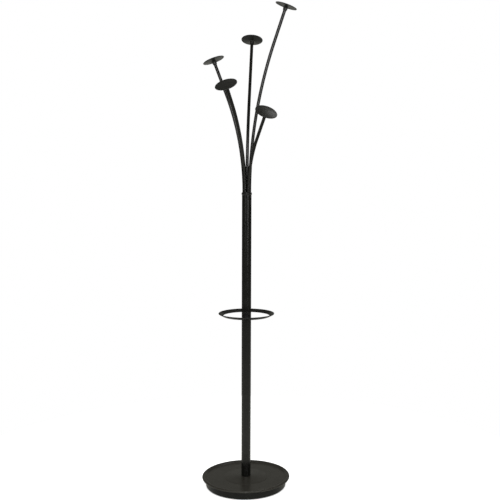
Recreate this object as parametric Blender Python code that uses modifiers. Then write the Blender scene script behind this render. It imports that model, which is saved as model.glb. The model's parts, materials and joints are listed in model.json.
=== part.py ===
"""Standing coat rack: five bent rods with disc pegs, a two-piece tube pole, an
umbrella ring and a weighted round base with a drip tray.

Metres, +Z up. The origin is on the pole's axis at floor level.
Run with: blender --background --python part.py
"""

import math

import bmesh
import bpy

# ---------------------------------------------------------------- driving sizes

FIT_GAP = 0.0003            # between faces that touch on the real object
SOCKET_GAP = 0.0003         # round a spigot, rod or screw in its hole, on the radius

# Arms and their sockets
ARM_COUNT = 5
ROD_DIAMETER = 0.012
ROD_SPACING_GAP = 0.0015    # between neighbouring rods where they leave the collar
SPIGOT_DIAMETER = 0.008     # turned-down lower end of each rod
SPIGOT_LENGTH = 0.038
SPIGOT_ROOT = 0.004         # spigot let into the rod above it
SOCKET_WALL = 0.0007        # collar left outside a socket
FIRST_SOCKET_ANGLE = 87.5   # degrees from +X; the others follow at equal steps

# Each arm: name, turn from its socket's direction (deg), bend radius,
# bend angle (deg), straight length above the bend
ARMS = (
    ("rear", -5.0, 1.060, 18.7, 0.270),
    ("left", 6.0, 1.010, 21.4, 0.140),
    ("front_left", 10.5, 0.575, 35.0, 0.075),
    ("front_right", -7.0, 0.323, 37.5, 0.124),
    ("right", -20.0, 1.800, 18.3, 0.140),
)

# Pegs: a thin lens on a short neck
PEG_DIAMETER = 0.084
PEG_DOME = 0.0058           # top of the dome above the rim's middle plane
PEG_RIM_RADIUS = 0.0015     # rounding of the rim
PEG_BELLY = 0.0062          # underside below the rim's middle plane, beside the neck
PEG_NECK_DIAMETER = 0.0165
PEG_NECK_LENGTH = 0.0115    # below the belly
PEG_NECK_TAPER = 0.0009     # on the radius, from the belly to the neck's end
PEG_FILLET = 0.005          # where the belly runs into the neck
PEG_FILLET_CENTRE_SHARE = 0.35
PEG_FILLET_LIFT = 0.0010    # fillet's outer end above the belly
PEG_FILLET_DROP = 0.0012    # fillet's middle below the belly
PEG_SEAT_DEPTH = 0.0085     # how far the rod enters the neck
STUD_DIAMETER = 0.005
STUD_IN_ROD = 0.014
STUD_IN_PEG = 0.0065

# Pole
TUBE_WALL = 0.0015
COLLAR_TOP = 1.156          # height of the collar's top face
COLLAR_BEAD_HEIGHT = 0.012
COLLAR_BEAD_PROUD = 0.0018
COLLAR_BEAD_ARC = 75        # degrees of the bead's round above and below its middle
COLLAR_PLUG_LENGTH = 0.052
INSERT_LENGTH = 0.030
JOINT_STUD_DIAMETER = 0.012
JOINT_STUD_GRIP = 0.025     # stud length inside each insert

# Umbrella ring
RING_HEIGHT = 0.682         # middle of the sloped band
RING_RADIUS = 0.0985        # middle of the sloped band
RING_BAND = 0.0210          # length of the band's section
RING_THICKNESS = 0.0036
RING_SLOPE = 28.0           # degrees, rising outwards
HUB_HEIGHT = 0.022
SPOKE_WIDTH = 0.030
SPOKE_THICKNESS = 0.0040
SPOKE_FILLET = 0.012

# Base
BASE_RADIUS = 0.172         # outside of the rolled lip
LIP_TOP = 0.0406            # height of the lip's crest
LIP_WIDTH = 0.0165
LIP_ROUND = 0.0046          # rounding of the lip's outer edge
LIP_SWEEP_RUN = 0.004       # floor's sweep up into the lip
LIP_SWEEP_RISE = 0.0012
LIP_SLOPE_RUN = 0.004       # inner slope of the lip, up to its shoulder
LIP_SLOPE_DROP = 0.0026     # top of the slope below the crest
LIP_SHOULDER_RUN = 0.0085
LIP_SHOULDER_DROP = 0.0006
RIB_DEPTH = 0.004           # rib under the lip that centres the skirt
TRAY_DEPTH = 0.0066         # crest of the lip down to the tray floor
CONE_RADIUS = 0.0847
CONE_STEP = 0.0008
CONE_RISE = 0.0040
SHELL_WALL = 0.0018
SKIRT_SETBACK = 0.015       # skirt inside the lip
SKIRT_EDGE = 0.002          # inward turn at the skirt's lower edge
FOOT_HEIGHT = 0.0035
FOOT_DIAMETER = 0.022
FOOT_COUNT = 6
FOOT_STEM_DIAMETER = 0.006
FOOT_STEM_LENGTH = 0.0040
FOOT_INSET = 0.022          # foot centres inside the skirt
RUBBER_CHAMFER = 0.001
PLATE_THICKNESS = 0.0015
BALLAST_SIDE_GAP = 0.006
BALLAST_TOP_GAP = 0.0008
BALLAST_CHAMFER = 0.004
CAST_CLEARANCE = 0.001      # round bosses and stems, on the radius
SCREW_COUNT = 4
SCREW_CIRCLE_RADIUS = 0.112
SCREW_DIAMETER = 0.0036
SCREW_LENGTH = 0.016
SCREW_HEAD_DIAMETER = 0.0080
SCREW_HEAD_HEIGHT = 0.0022
SCREW_CHAMFER = 0.0008
SCREW_POINT_LENGTH = 0.0015
BOSS_WALL = 0.0030
BOLT_DIAMETER = 0.010
BOLT_HEAD_ACROSS = 0.017
BOLT_HEAD_HEIGHT = 0.0064
BOLT_GRIP = 0.024           # bolt length inside the tube's foot insert
BOLT_HEAD_RECESS = 0.003    # bolt's head above the plug
WASHER_DIAMETER = 0.030
WASHER_THICKNESS = 0.0025
NECK_DIAMETER = 0.020       # foot insert's spigot through the tray
NECK_STANDOFF = 0.006       # cement left between the washer and the neck
PLUG_DIAMETER = 0.044       # pocket for the bolt's head, closed by a rubber plug
PLUG_LEDGE = 0.002          # base plate left inside the pocket's edge
PLUG_FLANGE = 0.004         # flange outside the pocket's edge
PLUG_RISE = 0.0025          # plug's body above the base plate

# Working allowances of the modelling
OVERSHOOT = 0.001           # cutters past the faces that they cut
WELD = 0.00001

# Facets
ROUND_LARGE = 52
ROUND_MEDIUM = 24
ROUND_SMALL = 14
ROUND_TINY = 10
ROD_BEVEL_RESOLUTION = 4
BEND_STEPS = 12
DOME_STEPS = 4

# ---------------------------------------------------------------- sizes that follow

ROD_RADIUS = ROD_DIAMETER / 2
SPIGOT_HOLE_RADIUS = SPIGOT_DIAMETER / 2 + SOCKET_GAP
SOCKET_STEP = 2 * math.pi / ARM_COUNT
PITCH_RADIUS = (ROD_DIAMETER + ROD_SPACING_GAP) / 2 / math.sin(SOCKET_STEP / 2)
INSERT_RADIUS = PITCH_RADIUS + SPIGOT_HOLE_RADIUS + SOCKET_WALL
TUBE_INNER_RADIUS = INSERT_RADIUS + SOCKET_GAP
TUBE_RADIUS = TUBE_INNER_RADIUS + TUBE_WALL

SKIRT_RADIUS = BASE_RADIUS - SKIRT_SETBACK
TRAY_FLOOR = LIP_TOP - TRAY_DEPTH
TRAY_CENTRE = TRAY_FLOOR + CONE_STEP + CONE_RISE
LIP_UNDERSIDE = LIP_TOP - 2 * LIP_ROUND
PLATE_TOP = FOOT_HEIGHT + PLATE_THICKNESS
BALLAST_BOTTOM = PLATE_TOP + FIT_GAP
BALLAST_TOP = TRAY_FLOOR - SHELL_WALL - BALLAST_TOP_GAP
BALLAST_RADIUS = SKIRT_RADIUS - SHELL_WALL - BALLAST_SIDE_GAP
BOSS_RADIUS = SCREW_DIAMETER / 2 + SOCKET_GAP + BOSS_WALL
FOOT_CIRCLE_RADIUS = SKIRT_RADIUS - FOOT_INSET

TUBE_FOOT = TRAY_CENTRE + FIT_GAP
HUB_BOTTOM = RING_HEIGHT - HUB_HEIGHT / 2
HUB_TOP = RING_HEIGHT + HUB_HEIGHT / 2
LOWER_TUBE_TOP = HUB_BOTTOM - FIT_GAP
UPPER_TUBE_FOOT = HUB_TOP + FIT_GAP
BEAD_BOTTOM = COLLAR_TOP - COLLAR_BEAD_HEIGHT
UPPER_TUBE_TOP = BEAD_BOTTOM - FIT_GAP
BEAD_RADIUS = TUBE_RADIUS + COLLAR_BEAD_PROUD
BEAD_FLAT_RADIUS = PITCH_RADIUS + ROD_RADIUS + FIT_GAP


# ---------------------------------------------------------------- scene helpers

def clear_scene():
    for scene_object in list(bpy.data.objects):
        bpy.data.objects.remove(scene_object)


def new_collection(name):
    collection = bpy.data.collections.new(name)
    bpy.context.scene.collection.children.link(collection)
    return collection


clear_scene()
PARTS = new_collection("standing_coat_rack")
CUTTERS = new_collection("cutters")


def make_material(name, colour, roughness, metallic=0.0):
    material = bpy.data.materials.new(name)
    material.use_nodes = True
    shader = material.node_tree.nodes["Principled BSDF"]
    shader.inputs["Base Color"].default_value = (*colour, 1.0)
    shader.inputs["Roughness"].default_value = roughness
    shader.inputs["Metallic"].default_value = metallic
    return material


BLACK_TUBE_PAINT = make_material("black_powder_coated_tube", (0.012, 0.012, 0.013), 0.42)
BLACK_ROD_PAINT = make_material("black_powder_coated_rod", (0.014, 0.014, 0.015), 0.38)
PEG_PLASTIC = make_material("black_moulded_peg", (0.020, 0.020, 0.019), 0.45)
COLLAR_PLASTIC = make_material("black_moulded_collar", (0.010, 0.010, 0.010), 0.40)
RING_PLASTIC = make_material("black_moulded_ring", (0.016, 0.016, 0.016), 0.42)
TRAY_PLASTIC = make_material("dark_grey_moulded_tray", (0.045, 0.044, 0.041), 0.50)
SKIRT_PLASTIC = make_material("dark_grey_moulded_skirt", (0.030, 0.030, 0.028), 0.55)
CEMENT = make_material("cast_cement", (0.32, 0.31, 0.29), 0.95)
ZINC = make_material("zinc_plated_steel", (0.55, 0.56, 0.58), 0.35, 1.0)
PLATE_STEEL = make_material("black_plate_steel", (0.020, 0.020, 0.020), 0.60)
RUBBER = make_material("black_rubber", (0.010, 0.010, 0.010), 0.85)
INSERT_NYLON = make_material("natural_nylon", (0.62, 0.60, 0.54), 0.55)


def add_object(name, mesh, collection, material=None):
    part = bpy.data.objects.new(name, mesh)
    collection.objects.link(part)
    if material:
        part.data.materials.append(material)
    return part


def as_cutter(tool):
    for owner in list(tool.users_collection):
        owner.objects.unlink(tool)
    CUTTERS.objects.link(tool)
    tool.display_type = 'WIRE'
    tool.hide_render = True
    return tool


def boolean(part, tool, operation):
    modifier = part.modifiers.new(f"{operation.lower()}_{tool.name}"[:60], 'BOOLEAN')
    modifier.operation = operation
    modifier.solver = 'EXACT'
    modifier.object = as_cutter(tool)


def cut(part, tool):
    boolean(part, tool, 'DIFFERENCE')


def join(part, tool):
    boolean(part, tool, 'UNION')


def arc(centre_x, centre_z, radius, start, end, steps):
    """Points on an arc, with its angles in degrees from +X."""
    points = []
    for step in range(steps + 1):
        angle = math.radians(start + (end - start) * step / steps)
        points.append((centre_x + radius * math.cos(angle), centre_z + radius * math.sin(angle)))
    return points


def turned(name, profile, sides, collection, material=None, closed=False):
    """A profile of (radius, height) points, outer side first, turned round Z."""
    mesh = bpy.data.meshes.new(name)
    vertices = [(radius, 0.0, height) for radius, height in profile]
    edges = [(index, index + 1) for index in range(len(profile) - 1)]
    if closed:
        edges.append((len(profile) - 1, 0))
    mesh.from_pydata(vertices, edges, [])
    part = add_object(name, mesh, collection, material)
    screw = part.modifiers.new("turn", 'SCREW')
    screw.axis = 'Z'
    screw.angle = 2 * math.pi
    screw.steps = sides
    screw.render_steps = sides
    screw.use_merge_vertices = True
    screw.merge_threshold = WELD
    screw.use_smooth_shade = True
    return part


def tube_profile(outer, inner, bottom, top):
    return [(outer, top), (outer, bottom), (inner, bottom), (inner, top)]


def cylinder(name, radius, bottom, top, sides, collection, material=None, centre=(0.0, 0.0)):
    mesh = bpy.data.meshes.new(name)
    shape = bmesh.new()
    bmesh.ops.create_cone(shape, cap_ends=True, segments=sides,
                          radius1=radius, radius2=radius, depth=top - bottom)
    shape.to_mesh(mesh)
    shape.free()
    mesh.shade_smooth()
    mesh.set_sharp_from_angle(angle=math.radians(40))
    part = add_object(name, mesh, collection, material)
    part.location = (centre[0], centre[1], (bottom + top) / 2)
    return part


def on_circle(radius, degrees):
    angle = math.radians(degrees)
    return (radius * math.cos(angle), radius * math.sin(angle))


# ---------------------------------------------------------------- base

def screw_places():
    return [on_circle(SCREW_CIRCLE_RADIUS, 45 + 360 * index / SCREW_COUNT)
            for index in range(SCREW_COUNT)]


def foot_places():
    return [on_circle(FOOT_CIRCLE_RADIUS, 360 * index / FOOT_COUNT)
            for index in range(FOOT_COUNT)]


def make_tray():
    """Drip tray with its rolled lip, shallow centre cone and screw bosses."""
    crest = BASE_RADIUS - LIP_ROUND
    inner = BASE_RADIUS - LIP_WIDTH
    hole = NECK_DIAMETER / 2 + SOCKET_GAP
    top_side = [(hole, TRAY_CENTRE)]
    top_side += [(CONE_RADIUS, TRAY_FLOOR + CONE_STEP), (CONE_RADIUS + CONE_STEP, TRAY_FLOOR)]
    top_side += [(inner - LIP_SWEEP_RUN, TRAY_FLOOR), (inner, TRAY_FLOOR + LIP_SWEEP_RISE)]
    top_side += [(inner + LIP_SLOPE_RUN, LIP_TOP - LIP_SLOPE_DROP)]
    top_side += [(inner + LIP_SHOULDER_RUN, LIP_TOP - LIP_SHOULDER_DROP)]
    outer_side = arc(crest, LIP_TOP - LIP_ROUND, LIP_ROUND, 90, -90, 6)
    locating_rib = SKIRT_RADIUS - SHELL_WALL - SOCKET_GAP
    rib_inner = locating_rib - SHELL_WALL
    rib_bottom = LIP_UNDERSIDE - RIB_DEPTH
    underside = [(SKIRT_RADIUS + FIT_GAP, LIP_UNDERSIDE)]
    underside += [(locating_rib, LIP_UNDERSIDE), (locating_rib, rib_bottom)]
    underside += [(rib_inner, rib_bottom), (rib_inner, TRAY_FLOOR - SHELL_WALL)]
    underside += [(CONE_RADIUS, TRAY_FLOOR - SHELL_WALL), (hole, TRAY_CENTRE - SHELL_WALL)]
    profile = top_side + outer_side + underside
    tray = turned("drip_tray", profile, ROUND_LARGE, PARTS, TRAY_PLASTIC, closed=True)
    boss_bottom = PLATE_TOP + FIT_GAP
    boss_top = TRAY_FLOOR - SHELL_WALL / 2
    for index, place in enumerate(screw_places()):
        boss = cylinder(f"boss_{index}", BOSS_RADIUS, boss_bottom, boss_top, ROUND_SMALL, CUTTERS,
                        centre=place)
        join(tray, boss)
    pilot_top = PLATE_TOP + SCREW_LENGTH + FIT_GAP
    for index, place in enumerate(screw_places()):
        pilot = cylinder(f"pilot_{index}", SCREW_DIAMETER / 2 + SOCKET_GAP, boss_bottom - OVERSHOOT,
                         pilot_top, ROUND_TINY, CUTTERS, centre=place)
        cut(tray, pilot)


def make_skirt():
    """Wall below the lip, closed underneath by the base plate."""
    inner = SKIRT_RADIUS - SHELL_WALL
    top = LIP_UNDERSIDE - FIT_GAP
    edge = SKIRT_EDGE
    profile = [(SKIRT_RADIUS, top), (SKIRT_RADIUS, FOOT_HEIGHT + edge)]
    profile += [(SKIRT_RADIUS - edge, FOOT_HEIGHT), (inner - edge, FOOT_HEIGHT)]
    profile += [(inner - edge, FOOT_HEIGHT + edge), (inner, FOOT_HEIGHT + 2 * edge), (inner, top)]
    turned("base_skirt", profile, ROUND_LARGE, PARTS, SKIRT_PLASTIC, closed=True)


def make_ballast():
    """Cement disc that fills the base, with a pocket for the bolt's head."""
    pocket_radius = PLUG_DIAMETER / 2
    pocket_top = bolt_seat()
    bolt_hole = BOLT_DIAMETER / 2 + SOCKET_GAP
    neck_hole = NECK_DIAMETER / 2 + SOCKET_GAP
    edge = BALLAST_CHAMFER
    profile = [(BALLAST_RADIUS - edge, BALLAST_TOP), (BALLAST_RADIUS, BALLAST_TOP - edge)]
    profile += [(BALLAST_RADIUS, BALLAST_BOTTOM), (pocket_radius, BALLAST_BOTTOM)]
    profile += [(pocket_radius, pocket_top), (bolt_hole, pocket_top)]
    profile += [(bolt_hole, neck_bottom() - FIT_GAP), (neck_hole, neck_bottom() - FIT_GAP)]
    profile += [(neck_hole, BALLAST_TOP)]
    ballast = turned("ballast_disc", profile, ROUND_LARGE, PARTS, CEMENT, closed=True)
    for index, place in enumerate(screw_places()):
        clearance = cylinder(f"boss_hole_{index}", BOSS_RADIUS + CAST_CLEARANCE, BALLAST_BOTTOM - OVERSHOOT,
                             BALLAST_TOP + OVERSHOOT, ROUND_SMALL, CUTTERS, centre=place)
        cut(ballast, clearance)


def bolt_seat():
    """Height of the face that the bolt's washer pulls against."""
    return BALLAST_BOTTOM + BOLT_HEAD_HEIGHT + WASHER_THICKNESS + BOLT_HEAD_RECESS


def neck_bottom():
    """Lower end of the foot insert's spigot."""
    return bolt_seat() + NECK_STANDOFF


def make_base_plate():
    """Steel disc under the ballast, with holes for plug, feet and screws."""
    radius = SKIRT_RADIUS - SHELL_WALL - SKIRT_EDGE - SOCKET_GAP
    low = FOOT_HEIGHT - OVERSHOOT
    high = PLATE_TOP + OVERSHOOT
    plate = cylinder("base_plate", radius, FOOT_HEIGHT, PLATE_TOP, ROUND_LARGE, PARTS, PLATE_STEEL)
    cut(plate, cylinder("plug_hole", PLUG_DIAMETER / 2 - PLUG_LEDGE, low, high, ROUND_MEDIUM, CUTTERS))
    for index, place in enumerate(foot_places()):
        hole = cylinder(f"foot_hole_{index}", FOOT_STEM_DIAMETER / 2 + SOCKET_GAP, low, high, ROUND_TINY,
                        CUTTERS, centre=place)
        cut(plate, hole)
    for index, place in enumerate(screw_places()):
        hole = cylinder(f"screw_hole_{index}", SCREW_DIAMETER / 2 + SOCKET_GAP, low, high, ROUND_TINY,
                        CUTTERS, centre=place)
        cut(plate, hole)


def make_feet():
    """Rubber buttons pressed into the base plate."""
    pad = FOOT_DIAMETER / 2
    stem = FOOT_STEM_DIAMETER / 2
    stem_top = FOOT_HEIGHT - FIT_GAP + FOOT_STEM_LENGTH
    pocket_top = stem_top + FIT_GAP
    profile = [(0.0, stem_top), (stem, stem_top), (stem, FOOT_HEIGHT - FIT_GAP)]
    profile += [(pad, FOOT_HEIGHT - FIT_GAP), (pad, RUBBER_CHAMFER)]
    profile += [(pad - RUBBER_CHAMFER, 0.0), (0.0, 0.0)]
    ballast = bpy.data.objects["ballast_disc"]
    for index, (x, y) in enumerate(foot_places()):
        foot = turned(f"rubber_foot_{index + 1}", profile, ROUND_SMALL, PARTS, RUBBER)
        foot.location = (x, y, 0.0)
        pocket = cylinder(f"foot_pocket_{index}", stem + CAST_CLEARANCE, BALLAST_BOTTOM - OVERSHOOT,
                          pocket_top, ROUND_TINY, CUTTERS, centre=(x, y))
        cut(ballast, pocket)


def make_bolt_plug():
    """Rubber plug that closes the bolt's pocket and stands on the floor."""
    flange = PLUG_DIAMETER / 2 + PLUG_FLANGE
    body = PLUG_DIAMETER / 2 - PLUG_LEDGE - SOCKET_GAP
    top = PLATE_TOP + PLUG_RISE
    edge = RUBBER_CHAMFER
    profile = [(0.0, top), (body - edge, top), (body, top - edge), (body, FOOT_HEIGHT - FIT_GAP)]
    profile += [(flange, FOOT_HEIGHT - FIT_GAP), (flange, edge), (flange - edge, 0.0), (0.0, 0.0)]
    turned("bolt_cover_plug", profile, ROUND_MEDIUM, PARTS, RUBBER)


def make_base_screws():
    """Four pan-head screws through the plate into the tray's bosses."""
    shank = SCREW_DIAMETER / 2
    head = SCREW_HEAD_DIAMETER / 2
    tip = PLATE_TOP + SCREW_LENGTH
    seat = FOOT_HEIGHT - FIT_GAP
    head_bottom = seat - SCREW_HEAD_HEIGHT
    profile = [(0.0, tip), (shank - SCREW_CHAMFER, tip), (shank, tip - SCREW_POINT_LENGTH)]
    profile += [(shank, seat), (head, seat), (head, head_bottom + SCREW_CHAMFER)]
    profile += [(head - SCREW_CHAMFER, head_bottom), (0.0, head_bottom)]
    for index, (x, y) in enumerate(screw_places()):
        screw = turned(f"base_screw_{index + 1}", profile, ROUND_TINY, PARTS, ZINC)
        screw.location = (x, y, 0.0)


def make_base_bolt():
    """Hexagon bolt and washer that pull the lower tube down on the tray."""
    washer_top = bolt_seat() - FIT_GAP
    washer_bottom = washer_top - WASHER_THICKNESS
    bolt_hole = BOLT_DIAMETER / 2 + SOCKET_GAP
    turned("base_bolt_washer", tube_profile(WASHER_DIAMETER / 2, bolt_hole, washer_bottom, washer_top),
           ROUND_SMALL, PARTS, ZINC, closed=True)
    head_top = washer_bottom - FIT_GAP
    bolt = cylinder("base_bolt", BOLT_HEAD_ACROSS / math.sqrt(3), head_top - BOLT_HEAD_HEIGHT, head_top, 6,
                    PARTS, ZINC)
    shank = cylinder("bolt_shank", BOLT_DIAMETER / 2, head_top - OVERSHOOT, TUBE_FOOT + BOLT_GRIP,
                     ROUND_SMALL, CUTTERS)
    join(bolt, shank)


# ---------------------------------------------------------------- pole

def make_tube(name, bottom, top):
    turned(name, tube_profile(TUBE_RADIUS, TUBE_INNER_RADIUS, bottom, top), ROUND_MEDIUM, PARTS,
           BLACK_TUBE_PAINT, closed=True)


def make_insert(name, bottom, top, hole_radius):
    """Nylon plug moulded to fit inside a tube's end, with a hole for stud or bolt."""
    turned(name, tube_profile(INSERT_RADIUS, hole_radius, bottom, top), ROUND_MEDIUM, PARTS,
           INSERT_NYLON, closed=True)


def make_foot_insert():
    """Plug in the lower tube's foot, with a neck that goes through the tray."""
    hole = BOLT_DIAMETER / 2 + SOCKET_GAP
    neck = NECK_DIAMETER / 2
    top = TUBE_FOOT + INSERT_LENGTH
    profile = [(INSERT_RADIUS, top), (INSERT_RADIUS, TUBE_FOOT), (neck, TUBE_FOOT), (neck, neck_bottom())]
    profile += [(hole, neck_bottom()), (hole, top)]
    turned("tube_foot_insert", profile, ROUND_MEDIUM, PARTS, INSERT_NYLON, closed=True)


def make_pole():
    make_tube("lower_tube", TUBE_FOOT, LOWER_TUBE_TOP)
    make_tube("upper_tube", UPPER_TUBE_FOOT, UPPER_TUBE_TOP)
    make_foot_insert()
    stud_hole = JOINT_STUD_DIAMETER / 2 + SOCKET_GAP
    make_insert("lower_joint_insert", LOWER_TUBE_TOP - INSERT_LENGTH, LOWER_TUBE_TOP, stud_hole)
    make_insert("upper_joint_insert", UPPER_TUBE_FOOT, UPPER_TUBE_FOOT + INSERT_LENGTH, stud_hole)
    cylinder("joint_stud", JOINT_STUD_DIAMETER / 2, LOWER_TUBE_TOP - JOINT_STUD_GRIP,
             UPPER_TUBE_FOOT + JOINT_STUD_GRIP, ROUND_SMALL, PARTS, ZINC)


def make_collar():
    """Plug in the top of the pole with a rounded bead and a socket for each arm."""
    plug_bottom = COLLAR_TOP - COLLAR_PLUG_LENGTH
    half = COLLAR_BEAD_HEIGHT / 2
    bead = arc(0.0, 0.0, 1.0, COLLAR_BEAD_ARC, -COLLAR_BEAD_ARC, 6)
    profile = [(0.0, COLLAR_TOP), (BEAD_FLAT_RADIUS, COLLAR_TOP)]
    for x, z in bead:
        radius = BEAD_FLAT_RADIUS + (BEAD_RADIUS - BEAD_FLAT_RADIUS) * x
        profile.append((radius, COLLAR_TOP - half + half * z))
    profile += [(TUBE_RADIUS, BEAD_BOTTOM), (INSERT_RADIUS, BEAD_BOTTOM), (INSERT_RADIUS, plug_bottom)]
    profile += [(0.0, plug_bottom)]
    collar = turned("arm_collar", profile, ROUND_MEDIUM, PARTS, COLLAR_PLASTIC)
    for index, place in enumerate(socket_places()):
        socket = cylinder(f"socket_{index}", SPIGOT_HOLE_RADIUS, COLLAR_TOP - SPIGOT_LENGTH - FIT_GAP,
                          COLLAR_TOP + OVERSHOOT, ROUND_SMALL, CUTTERS, centre=place)
        cut(collar, socket)


# ---------------------------------------------------------------- umbrella ring

def spoke_outline():
    """Half outline of one spoke along +X, flared where it meets the band."""
    half_width = SPOKE_WIDTH / 2
    reach = RING_RADIUS - RING_BAND / 4
    flare = arc(reach - SPOKE_FILLET, half_width + SPOKE_FILLET, SPOKE_FILLET, -90, 0, 5)
    return [(0.0, half_width)] + flare


def make_spoke(name, degrees):
    outline = spoke_outline()
    corners = outline + [(x, -y) for x, y in reversed(outline)]
    curve = bpy.data.curves.new(name, 'CURVE')
    curve.dimensions = '2D'
    curve.fill_mode = 'BOTH'
    curve.extrude = SPOKE_THICKNESS / 2
    spline = curve.splines.new('POLY')
    spline.points.add(len(corners) - 1)
    for point, (x, y) in zip(spline.points, corners):
        point.co = (x, y, 0.0, 1.0)
    spline.use_cyclic_u = True
    spoke = add_object(name, curve, CUTTERS)
    drop = math.sin(math.radians(RING_SLOPE)) * RING_BAND / 4
    spoke.location = (0.0, 0.0, RING_HEIGHT - drop)
    spoke.rotation_euler = (0.0, 0.0, math.radians(degrees))
    return curve_to_mesh(spoke)


def curve_to_mesh(source):
    """Replace a curve object by a welded mesh object of the same name and place."""
    bpy.context.view_layer.update()
    graph = bpy.context.evaluated_depsgraph_get()
    mesh = bpy.data.meshes.new_from_object(source.evaluated_get(graph))
    shape = bmesh.new()
    shape.from_mesh(mesh)
    bmesh.ops.remove_doubles(shape, verts=shape.verts, dist=2 * WELD)
    bmesh.ops.recalc_face_normals(shape, faces=shape.faces)
    shape.to_mesh(mesh)
    shape.free()
    name = source.name
    collection = source.users_collection[0]
    parent = source.parent
    place = source.matrix_world.copy()
    bpy.data.objects.remove(source)
    result = bpy.data.objects.new(name, mesh)
    collection.objects.link(result)
    result.parent = parent
    result.matrix_world = place
    return result


def make_umbrella_ring():
    """Sloped band round the pole, held by two spokes on a hub between the tubes."""
    slope = math.radians(RING_SLOPE)
    along = (math.cos(slope), math.sin(slope))
    across = (-math.sin(slope), math.cos(slope))
    half_band = RING_BAND / 2 - RING_THICKNESS / 2
    radius = RING_THICKNESS / 2
    profile = []
    for end in (1, -1):
        centre_x = RING_RADIUS + end * half_band * along[0]
        centre_z = RING_HEIGHT + end * half_band * along[1]
        start = 90 if end == 1 else -90
        for x, z in arc(0.0, 0.0, radius, start, start - 180, 4):
            profile.append((centre_x + x * along[0] + z * across[0],
                            centre_z + x * along[1] + z * across[1]))
    ring = turned("umbrella_ring", profile, ROUND_LARGE, PARTS, RING_PLASTIC, closed=True)
    for name, degrees in (("front_spoke", -90), ("rear_spoke", 90)):
        join(ring, make_spoke(name, degrees))
    hub = cylinder("ring_hub", TUBE_RADIUS, HUB_BOTTOM, HUB_TOP, ROUND_MEDIUM, CUTTERS)
    join(ring, hub)
    bore = cylinder("hub_bore", JOINT_STUD_DIAMETER / 2 + SOCKET_GAP, HUB_BOTTOM - OVERSHOOT,
                    HUB_TOP + OVERSHOOT, ROUND_SMALL, CUTTERS)
    cut(ring, bore)


# ---------------------------------------------------------------- arms and pegs

def socket_angle(index):
    return FIRST_SOCKET_ANGLE + math.degrees(SOCKET_STEP) * index


def socket_places():
    return [on_circle(PITCH_RADIUS, socket_angle(index)) for index in range(ARM_COUNT)]


def arm_path(bend_radius, bend_angle, straight):
    """Centre line in the arm's own upright plane, from its shoulder to the peg's middle."""
    path = []
    for step in range(BEND_STEPS + 1):
        angle = math.radians(bend_angle) * step / BEND_STEPS
        path.append((bend_radius * (1 - math.cos(angle)), bend_radius * math.sin(angle)))
    lean = math.radians(bend_angle)
    end_x = path[-1][0] + straight * math.sin(lean)
    end_z = path[-1][1] + straight * math.cos(lean)
    return path, (end_x, end_z)


def rod_end_drop():
    """Distance from the peg's middle plane down to the end of the rod."""
    return PEG_BELLY + PEG_NECK_LENGTH - PEG_SEAT_DEPTH


def make_pivot(name, index, turn):
    pivot = bpy.data.objects.new(f"{name}_arm_pivot", None)
    PARTS.objects.link(pivot)
    x, y = socket_places()[index]
    pivot.location = (x, y, COLLAR_TOP)
    pivot.rotation_euler = (0.0, 0.0, math.radians(socket_angle(index) + turn))
    return pivot


def make_arm(name, pivot, bend_radius, bend_angle, straight):
    """Bent rod with a turned-down spigot below and a stud hole in its top end."""
    path, (peg_x, peg_z) = arm_path(bend_radius, bend_angle, straight)
    lean = math.radians(bend_angle)
    end = (peg_x - rod_end_drop() * math.sin(lean), peg_z - rod_end_drop() * math.cos(lean))
    points = [(0.0, FIT_GAP)] + path[1:] + [end]
    curve = bpy.data.curves.new(f"{name}_arm", 'CURVE')
    curve.dimensions = '3D'
    curve.bevel_depth = ROD_RADIUS
    curve.bevel_resolution = ROD_BEVEL_RESOLUTION
    curve.use_fill_caps = True
    spline = curve.splines.new('POLY')
    spline.points.add(len(points) - 1)
    for point, (x, z) in zip(spline.points, points):
        point.co = (x, 0.0, z, 1.0)
    arm = add_object(f"{name}_arm", curve, PARTS)
    arm.parent = pivot
    arm = curve_to_mesh(arm)
    arm.data.materials.append(BLACK_ROD_PAINT)
    arm.data.shade_smooth()
    arm.data.set_sharp_from_angle(angle=math.radians(40))
    spigot = cylinder(f"{name}_spigot", SPIGOT_DIAMETER / 2, -SPIGOT_LENGTH, SPIGOT_ROOT,
                      ROUND_SMALL, CUTTERS)
    spigot.parent = pivot
    join(arm, spigot)
    hole_bottom = -rod_end_drop() - STUD_IN_ROD - FIT_GAP
    stud_hole = cylinder(f"{name}_stud_hole", STUD_DIAMETER / 2 + SOCKET_GAP, hole_bottom,
                         -rod_end_drop() + 2 * OVERSHOOT, ROUND_TINY, CUTTERS)
    tilt_to_peg(stud_hole, pivot, (peg_x, peg_z), lean)
    cut(arm, stud_hole)


def tilt_to_peg(part, pivot, peg_place, lean):
    """Move a piece made round the peg's own axis out to the top of its arm."""
    height = part.location.z
    part.parent = pivot
    part.location = (peg_place[0] + height * math.sin(lean), 0.0,
                     peg_place[1] + height * math.cos(lean))
    part.rotation_euler = (0.0, lean, 0.0)


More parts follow.
